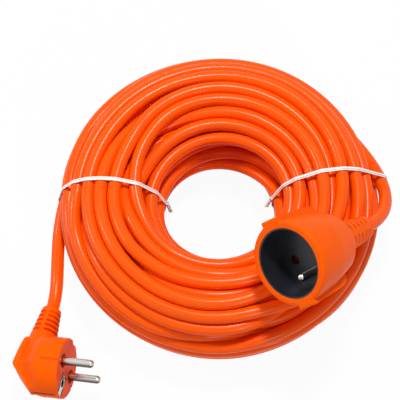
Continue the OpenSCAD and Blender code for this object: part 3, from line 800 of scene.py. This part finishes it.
def plug_rear(y):
    """Depth of the plug's rear at a height y: the lesser of two slopes that meet at y = -5 mm, softened.

    The lower slope is 31 + (y + 5) and the upper one 31 - 0.12 (y + 5), in millimetres.
    """
    past = y - PLUG_CREST
    low, high = PLUG_DEEPEST + past, PLUG_DEEPEST - 0.12 * past
    return (low + high) / 2 - np.sqrt(((low - high) / 2) ** 2 + 0.0004**2)


def plug_shell():
    """Rings over the plug's body: out over the face, round its rim, back along the side, in over the rear.

    Every ring is the outline x = a sgn(c) |c|^(2/n), y = m + b sgn(s) |s|^(2/n), with c and s the cosine
    and sine of an even turn. From the face to the rear, a falls from 18.1 to 7.3 mm and then steps out to
    8.7 mm for the grip plate, b falls from 18.1 to 17.4 mm, m from 0 to -0.7 mm, and n rises from 2 to
    3.4. The depth is a share t of plug_rear(y). Wells, slots and grooves are pressed in with windows.
    """
    turn = np.linspace(0, 2 * np.pi, 400, endpoint=False)
    radius, rim = PLUG_RADIUS, PLUG_RIM
    quarter = np.linspace(0, np.pi / 2, 6)[1:]
    face = np.linspace(0.0001, radius - rim, 52) / radius
    fillet = (radius - rim + rim * np.sin(quarter)) / radius
    side = np.linspace(0, 1, 64)[1:]
    inward = np.linspace(1, 0.01, 22)[1:]
    share = np.concatenate([face, fillet, np.ones(len(side)), inward])[:, None]
    t = np.concatenate([np.zeros(len(face) + len(fillet)), side, np.ones(len(inward))])[:, None]
    drop = [np.zeros(len(face)), rim * (1 - np.cos(quarter)), np.full(len(side), rim), 0 * inward]
    drop = np.concatenate(drop)
    taper = np.clip((t - 0.42) / 0.46, 0, 1)
    taper = taper**2 * (3 - 2 * taper)
    plate = window(t, 0.900, 2.0, 0.012)
    a = radius - 0.0108 * taper + 0.0014 * plate
    b = radius - 0.0007 * taper
    power = 2 / (2 + 1.4 * taper)
    c, s = np.cos(turn)[None], np.sin(turn)[None]
    x = share * a * np.sign(c) * np.abs(c) ** power
    y = share * b * np.sign(s) * np.abs(s) ** power - 0.0007 * taper
    z = -drop[:, None] * (1 - t) - t * plug_rear(y)
    upper_channel = window(x, -0.0027, 0.0032) * window(z, -0.0155, 1)
    y = np.where(y > 0, y - upper_channel * np.clip(y - 0.0162, 0, 1), y)
    lower_channel = window(x, -0.0007, 0.0007) * window(z, -0.017, -0.0024)
    y = y + 0.0014 * lower_channel * (y < -0.016)
    groove = window(y, -0.0047, -0.0033) * window(z, -0.0115, 1)
    x = x - np.sign(x) * 0.0015 * groove * (np.abs(x) > 0.016)
    well = window(np.minimum(np.hypot(x - 0.0095, y), np.hypot(x + 0.0095, y)), -1, 0.0041)
    bore = window(np.hypot(x, y + 0.010), -1, 0.0023)
    insulator = window(x, -0.0040, 0.0040) * window(y, -0.0168, -0.0044) * (t == 0)
    pressed = ((well, 0.0015), (bore, 0.006), (insulator, 0.00015))
    z = z - np.maximum.reduce([area * np.clip(z + depth, 0, 1) for area, depth in pressed])
    behind = 0.02 + 0.001 * np.arange(len(t) - len(face))
    along = np.concatenate([share[: len(face), 0] * FACE_LENGTH, behind])
    return np.stack([x, y, z], 2), np.where(insulator > 0.5, INSULATOR_MARK, along[:, None])


def plug_relief():
    """Rings over the plug's strain relief: a cone from 16.5 to 12.2 mm, with five slots a side.

    A slot presses the surface in to 4.8 mm from the middle, but for a web of 3 mm along each side.
    """
    turn = np.linspace(0, 2 * np.pi, 120, endpoint=False)
    length = RELIEF_LENGTH
    along = np.linspace(-0.012, length, 190)[:, None]
    stops = [-0.006, 0, 0.0185, 0.0195, length]
    radius = np.interp(along, stops, [0.0091, 0.00825, 0.0061, 0.0058, RELIEF_TIP])
    pitch = RELIEF_SLOT_SHARE * length / RELIEF_SLOTS
    starts = [(i + 0.6) * pitch for i in range(RELIEF_SLOTS)]
    slots = sum(window(along, start, start + RELIEF_SLOT, 0.0003) for start in starts)
    web = window(np.abs(radius * np.sin(turn)), 0.0015, 1, 0.0003)
    radius = radius - slots * web * (radius - RELIEF_CORE)
    end = np.array([RELIEF_TIP, 0.0039])[:, None] * np.ones(len(turn))
    radius = np.vstack([radius, end])
    along = np.vstack([along, [[length], [0.0204]]])
    out, side = RELIEF_START + along + 0 * radius, -CABLE_BACK + radius * np.sin(turn)
    rings = np.stack([radius * np.cos(turn), out, side], 2)
    return rings[:, ::-1], 0.2 + along[:, 0]


def plug_material(props):
    """The moulding's plastic. Its face is a little redder and duller, a painted shade, told by the UV's
    length.

    The insulator round the earth hole, where that length is below zero, is black.
    """
    material = plastic("plug_pvc", props.body_colour, 0.4, 0.04, 900.0, 0.12, 0.06)
    tree = material.node_tree
    base = tree.nodes["Principled BSDF"].inputs["Base Color"]
    length = separate(tree, coordinates(tree, "UV"))["Y"]
    # deep is painted shade for the face: the body colour with less green, blended in over the face by the
    # UV's length.
    deep = np.array(props.body_colour) * (0.86, 0.6, 1.0)
    behind_face = map_range(tree, length, source=(0.0171, 0.0176))
    moulded = blend(tree, behind_face, deep, base.links[0].from_socket)
    off_insulator = map_range(tree, length, source=(-0.002, -0.001))
    tree.links.new(blend(tree, off_insulator, props.black_colour, moulded), base)
    return material


class LEAD_OT_plug(Operator):
    """Makes the plug's moulded body with its strain relief"""

    bl_idname = "lead.plug"
    bl_label = "Make the plug's body"

    def execute(self, context):
        props = context.scene.lead_settings
        pins, cable = plug_axes()
        axes = np.stack([np.cross(cable, pins), cable, pins])
        surfaces = (plug_shell(), plug_relief())
        grids = [(rings @ axes + np.array(PLUG_PLACE) + MIDDLE, lengths) for rings, lengths in surfaces]
        finish_piece(grid_surface("plug_moulding", *grids), plug_material(props), "plug_body")
        return {"FINISHED"}


def leaf_spring():
    """The shutter's spring in the socket's axes: a leaf folded to and fro, y = 2.1 cos(4 pi u) mm.

    Its section is an oval, 0.24 mm thick in the plane of the folds and 1.7 mm high.
    """
    u = np.linspace(0, 1, 90)
    run = np.interp(u, [0, 1], SPRING_ENDS)
    line = np.stack([run, 0.0021 * np.cos(4 * np.pi * u), np.full(len(u), SPRING_DEPTH)], 1)
    along = np.gradient(line, axis=0)
    along /= np.linalg.norm(along, axis=1)[:, None]
    up = np.array([[0, 0, 1.0]])
    turn = np.linspace(0, 2 * np.pi, 16, endpoint=False)
    thick, high = 0.00012 * np.cos(turn), 0.00085 * np.sign(np.sin(turn)) * np.abs(np.sin(turn)) ** 0.5
    rings = line[:, None] + outline(thick, np.cross(along, up)) + outline(high, up)
    return rings, path_lengths(line)


def socket_axes():
    """The socket's own axes as rows: the way its shutter slides, the way across, and the way it faces."""
    lean, heading, roll = np.radians((SOCKET_LEAN, SOCKET_HEADING, SOCKET_ROLL))
    level = np.array([np.cos(lean) * np.cos(heading), np.cos(lean) * np.sin(heading), -np.sin(lean)])
    side = np.array([-np.sin(heading), np.cos(heading), 0])
    slide = np.cos(roll) * level + np.sin(roll) * side
    return np.stack([slide, np.cos(roll) * side - np.sin(roll) * level, socket_axis()])


class LEAD_OT_spring(Operator):
    """Makes the shutter's spring, in one fixed shape"""

    bl_idname = "lead.spring"
    bl_label = "Make the spring"

    def execute(self, context):
        props = context.scene.lead_settings
        axes = socket_axes()
        mouth = socket_shoulder(props) + SOCKET_LENGTHS[0] * socket_axis() + MIDDLE
        rings, lengths = leaf_spring()
        spring = grid_surface("return_spring", (rings @ axes + mouth, lengths))
        finish_piece(spring, metal("spring_steel", (0.6, 0.6, 0.62), 0.3), "shutter_spring")
        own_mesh(spring)
        return {"FINISHED"}


class LEAD_OT_finishes(Operator):
    """Gives each carried-over CAD node its material"""

    bl_idname = "lead.finishes"
    bl_label = "Make the finishes"

    def execute(self, context):
        props = context.scene.lead_settings
        body = plastic("moulded_pvc", props.body_colour, 0.4, 0.04, 900.0, 0.12, 0.06, 0.0007)
        black = plastic("black_insulator", props.black_colour, 0.34, 0.2, 700.0, 0.08)
        finishes = [
            (("cord_tail",), plastic("jacket_end", props.cord_colour, 0.36, 0.04, 400.0, 0.05)),
            (("plug_body", "socket_body"), body),
            (("bridge", "liner", "carrier"), black),
            (("socket_shutter",), plastic("shutter_red", props.shutter_colour, 0.3, 0.1, 500.0, 0.05)),
            (("pin", "sleeve", "clip"), metal("nickel", props.nickel_colour, 0.22)),
            (("contact",), metal("contact_brass", (0.72, 0.5, 0.2), 0.3)),
        ]
        for end, name, colour in (
            ("_brown", "core_brown", (0.09, 0.03, 0.01)),
            ("_blue", "core_blue", (0.01, 0.08, 0.4)),
            ("wire_earth", "core_green", (0.3, 0.45, 0.02)),
        ):
            finishes.append(((end,), plastic(name, colour, 0.4, 0.1, 400.0, 0.05)))
        for node in FRAME["nodes"]:
            for words, material in finishes:
                if any(word in node for word in words):
                    assign(node, material)
                    break
        return {"FINISHED"}


# ---------------------------------------------------------------- stage
class LEAD_OT_stage(Operator):
    """Makes the floor, the lights, the world and the camera"""

    bl_idname = "lead.stage"
    bl_label = "Make the stage"

    def execute(self, context):
        make_floor()
        make_world(context.scene)
        make_lights(context.scene)
        make_camera(context.scene)
        return {"FINISHED"}


FLOOR_WHITE = 0.95  # how much of the floor's own shade gives way to plain white
FLOOR_HALF = 3.0
LIGHT_TARGET = (0, 0, 0.03)


def seen_rays(tree):
    """1 for rays from the camera and for those that a mirror or glass sends on, else 0."""
    rays = tree.nodes.new("ShaderNodeLightPath")
    found = rays.outputs["Is Camera Ray"]
    for other in ("Is Glossy Ray", "Is Transmission Ray"):
        either = tree.nodes.new("ShaderNodeMath")
        either.operation = "MAXIMUM"
        tree.links.new(found, either.inputs[0])
        tree.links.new(rays.outputs[other], either.inputs[1])
        found = either.outputs["Value"]
    return found


def make_floor():
    """A wide pale floor that looks white and keeps the object's shadow."""
    points = FLOOR_HALF * np.array([[-1, -1, 0], [1, -1, 0], [1, 1, 0], [-1, 1, 0]])
    floor = mesh_object("floor", points, np.array([[0, 1, 2, 3]]), smooth=False)
    material, tree, shader = new_material("floor_white")
    shader.inputs["Base Color"].default_value = (0.8, 0.8, 0.8, 1)
    shader.inputs["Roughness"].default_value = 0.9
    white = tree.nodes.new("ShaderNodeEmission")
    white.inputs["Color"].default_value = (1, 1, 1, 1)
    share = tree.nodes.new("ShaderNodeMath")
    share.operation = "MULTIPLY"
    share.inputs[1].default_value = FLOOR_WHITE
    tree.links.new(seen_rays(tree), share.inputs[0])
    mix = tree.nodes.new("ShaderNodeMixShader")
    tree.links.new(share.outputs["Value"], mix.inputs["Fac"])
    tree.links.new(shader.outputs["BSDF"], mix.inputs[1])
    tree.links.new(white.outputs["Emission"], mix.inputs[2])
    tree.links.new(mix.outputs["Shader"], tree.nodes["Material Output"].inputs["Surface"])
    floor.data.materials.append(material)


def make_world(scene):
    """An even white surround: bright to the camera, softer as light."""
    world = bpy.data.worlds.new("studio")
    world.use_nodes = True
    tree = world.node_tree
    lit = tree.nodes["Background"]
    lit.inputs["Color"].default_value = (1, 1, 1, 1)
    lit.inputs["Strength"].default_value = 0.25
    seen = tree.nodes.new("ShaderNodeBackground")
    seen.inputs["Color"].default_value = (1, 1, 1, 1)
    seen.inputs["Strength"].default_value = 1.0
    mix = tree.nodes.new("ShaderNodeMixShader")
    tree.links.new(seen_rays(tree), mix.inputs["Fac"])
    tree.links.new(lit.outputs["Background"], mix.inputs[1])
    tree.links.new(seen.outputs["Background"], mix.inputs[2])
    tree.links.new(mix.outputs["Shader"], tree.nodes["World Output"].inputs["Surface"])
    scene.world = world
    scene.view_settings.view_transform = "Standard"


def aim(piece, target):
    """Turns a light or camera to look at a target."""
    way = Vector(target) - piece.location
    piece.rotation_euler = way.to_track_quat("-Z", "Y").to_euler()


def area_light(scene, name, place, size, power):
    """A square light that looks at the coil."""
    data = bpy.data.lights.new(name, "AREA")
    data.shape = "SQUARE"
    data.size = size
    data.energy = power
    light = bpy.data.objects.new(name, data)
    light.location = place
    scene.collection.objects.link(light)
    aim(light, LIGHT_TARGET)


def make_lights(scene):
    """A light overhead, one from the left and a weaker one from the front, all small for short highlights."""
    area_light(scene, "light_top", (0.10, 0.30, 1.3), 0.18, 12.5)
    area_light(scene, "light_left", (-1.1, 0.2, 0.9), 0.17, 6.0)
    area_light(scene, "light_front", (0.5, -1.2, 0.7), 0.16, 3.8)


CAMERA_ELEVATION = 66.0
CAMERA_DISTANCE = 0.900
CAMERA_TARGET = (0.0, 0.0, 0.030)
FOCAL_PIXELS = 1455.0
FRAME_PIXELS = 400.0
TARGET_PIXEL = (219.5, 210.0)


def make_camera(scene):
    """The photograph's view: steeply down on the coil, with a small shift for its framing."""
    rise = np.radians(CAMERA_ELEVATION)
    target = np.array(CAMERA_TARGET) + MIDDLE
    data = bpy.data.cameras.new("camera")
    data.sensor_fit = "HORIZONTAL"
    data.sensor_width = 36.0
    data.lens = 36.0 * FOCAL_PIXELS / FRAME_PIXELS
    data.shift_x = -(TARGET_PIXEL[0] / FRAME_PIXELS - 0.5)
    data.shift_y = TARGET_PIXEL[1] / FRAME_PIXELS - 0.5
    camera = bpy.data.objects.new("camera", data)
    camera.location = target - CAMERA_DISTANCE * np.array([0, np.cos(rise), -np.sin(rise)])
    scene.collection.objects.link(camera)
    aim(camera, tuple(target))
    scene.camera = camera


# ---------------------------------------------------------------- the add-on's panel
class LEAD_PT_panel(Panel):
    """The lead's settings and steps."""

    bl_label = "Extension Cord"
    bl_idname = "LEAD_PT_panel"
    bl_space_type = "VIEW_3D"
    bl_region_type = "UI"
    bl_category = "Extension Cord"

    def draw(self, context):
        props = context.scene.lead_settings
        for name in props.__annotations__:
            self.layout.prop(props, name)
        for step in STEPS:
            self.layout.operator(step.bl_idname)


STEPS = (LEAD_OT_cord, LEAD_OT_ties, LEAD_OT_plug, LEAD_OT_spring, LEAD_OT_finishes, LEAD_OT_stage)
CLASSES = (LeadSettings, *STEPS, LEAD_PT_panel)


def register():
    for item in CLASSES:
        bpy.utils.register_class(item)
    bpy.types.Scene.lead_settings = PointerProperty(type=LeadSettings)


def unregister():
    del bpy.types.Scene.lead_settings
    for item in reversed(CLASSES):
        bpy.utils.unregister_class(item)


def main():
    """Builds the scene over the frame."""
    FRAME.update(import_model())
    register()
    bpy.ops.lead.cord()
    bpy.ops.lead.ties()
    bpy.ops.lead.plug()
    bpy.ops.lead.spring()
    bpy.ops.lead.finishes()
    bpy.ops.lead.stage()


if __name__ == "__main__":
    main()
